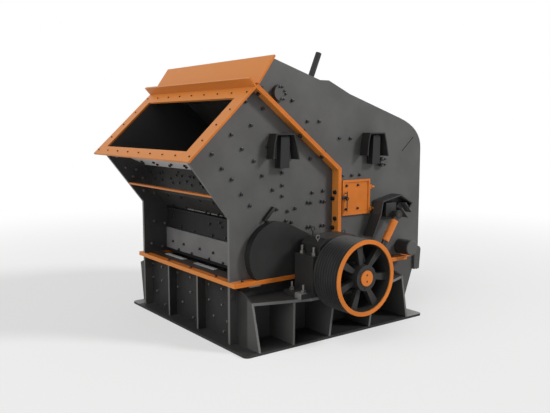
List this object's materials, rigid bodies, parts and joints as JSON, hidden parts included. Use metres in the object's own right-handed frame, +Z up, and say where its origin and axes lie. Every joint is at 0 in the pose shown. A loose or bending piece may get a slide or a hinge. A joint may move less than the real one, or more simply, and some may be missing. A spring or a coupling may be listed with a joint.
{
  "type": "impact crusher",
  "caption": "Impact crusher with a sloping feed inlet, a bar rotor on a spoked belt pulley, and a rear housing that tips back on its hinge.",
  "frame": {"origin": "bottom centre of the whole machine's box, on the ground", "axes": "+X along the rotor shaft to the pulley, +Y from the feed inlet to the rear, +Z up"},
  "size_m": [3.221, 3.277, 2.9574],
  "materials": {
    "charcoal_paint": "satin",
    "black_paint": "satin",
    "orange_paint": "satin",
    "grey_plate": "satin",
    "bare_steel": "satin"
  },
  "bodies": {
    "frame": {"base_plate": "black_paint", "lower_side_right": "charcoal_paint", "lower_side_left": "charcoal_paint", "lower_front_wall": "black_paint", "lower_rear_wall": "black_paint", "lower_flange_front": "orange_paint", "lower_flange_rear": "orange_paint", "front_base_flange": "orange_paint", "front_side_right": "charcoal_paint", "front_side_left": "charcoal_paint", "upper_front_wall": "black_paint", "front_cover_plate": "grey_plate", "feed_floor": "grey_plate", "chute_tie_bar": "orange_paint", "feed_frame": "orange_paint", "front_split_flange_right": "orange_paint", "front_split_flange_left": "orange_paint", "pedestal_right": "black_paint", "pedestal_left": "black_paint", "bearing_right": "black_paint", "bearing_left": "black_paint", "side_casing_right": "black_paint", "side_casing_left": "black_paint", "hooded_bracket_front_right": "black_paint", "hooded_bracket_front_left": "black_paint"},
    "housing": {"rear_side_right": "charcoal_paint", "rear_side_left": "charcoal_paint", "rear_shell": "charcoal_paint", "hood_panel": "orange_paint", "rear_base_flange": "orange_paint", "rear_split_flange_right": "orange_paint", "rear_split_flange_left": "orange_paint", "hooded_bracket_rear_right": "black_paint", "hooded_bracket_rear_left": "black_paint", "impact_apron_front": "bare_steel", "impact_apron_rear": "bare_steel", "apron_boss_front_right": "charcoal_paint", "apron_boss_front_left": "charcoal_paint", "apron_boss_rear_right": "charcoal_paint", "apron_boss_rear_left": "charcoal_paint", "pivot_drum_right": "black_paint", "pivot_drum_left": "black_paint", "lift_bracket_right": "black_paint", "lift_bracket_left": "black_paint", "roof_rod": "black_paint"},
    "rotor": {"rotor_shaft": "bare_steel", "rotor_body": "bare_steel", "pulley": "black_paint", "pulley_rim_ring": "orange_paint", "hub_cap": "orange_paint"},
    "right_barrel": {"lift_barrel_right": "orange_paint"},
    "left_barrel": {"lift_barrel_left": "orange_paint"},
    "right_rod": {"lift_rod_right": "bare_steel"},
    "left_rod": {"lift_rod_left": "bare_steel"},
    "right_door": {"door_right": "orange_paint"},
    "left_door": {"door_left": "orange_paint"}
  },
  "joints": [
    {"name": "rotor_spin", "type": "hinge", "parent": "frame", "child": "rotor", "pos_m": [-0.195, -0.0645, 0.71], "axis": [1, 0, 0], "continuous": true},
    {"name": "housing_tip", "type": "hinge", "parent": "frame", "child": "housing", "pos_m": [-0.195, 1.5885, 0.68], "axis": [-1, 0, 0], "range_deg": [0, 40]},
    {"name": "right_door_swing", "type": "hinge", "parent": "housing", "child": "right_door", "pos_m": [0.7875, 0.7755, 1.395], "axis": [0, 0, 1], "range_deg": [0, 90]},
    {"name": "left_door_swing", "type": "hinge", "parent": "housing", "child": "left_door", "pos_m": [-1.1775, 0.7755, 1.395], "axis": [0, 0, -1], "range_deg": [0, 90]},
    {"name": "right_barrel_swing", "type": "hinge", "parent": "housing", "child": "right_barrel", "pos_m": [0.925, 1.0785, 1.17], "axis": [-1, 0, 0], "range_deg": [-28.25, 0]},
    {"name": "right_rod_slide", "type": "slide", "parent": "right_barrel", "child": "right_rod", "axis": [0, -0.5612, -0.8277], "range_m": [0, 0.4463]},
    {"name": "left_barrel_swing", "type": "hinge", "parent": "housing", "child": "left_barrel", "pos_m": [-1.315, 1.0785, 1.17], "axis": [-1, 0, 0], "range_deg": [-28.25, 0]},
    {"name": "left_rod_slide", "type": "slide", "parent": "left_barrel", "child": "left_rod", "axis": [0, -0.5612, -0.8277], "range_m": [0, 0.4463]}
  ],
  "couplings": [
    {"joint": "right_barrel_swing", "follows": "housing_tip", "ratio": -0.7012},
    {"joint": "right_rod_slide", "follows": "housing_tip", "m_per_rad": 0.63779},
    {"joint": "left_barrel_swing", "follows": "housing_tip", "ratio": -0.7012},
    {"joint": "left_rod_slide", "follows": "housing_tip", "m_per_rad": 0.63779}
  ]
}
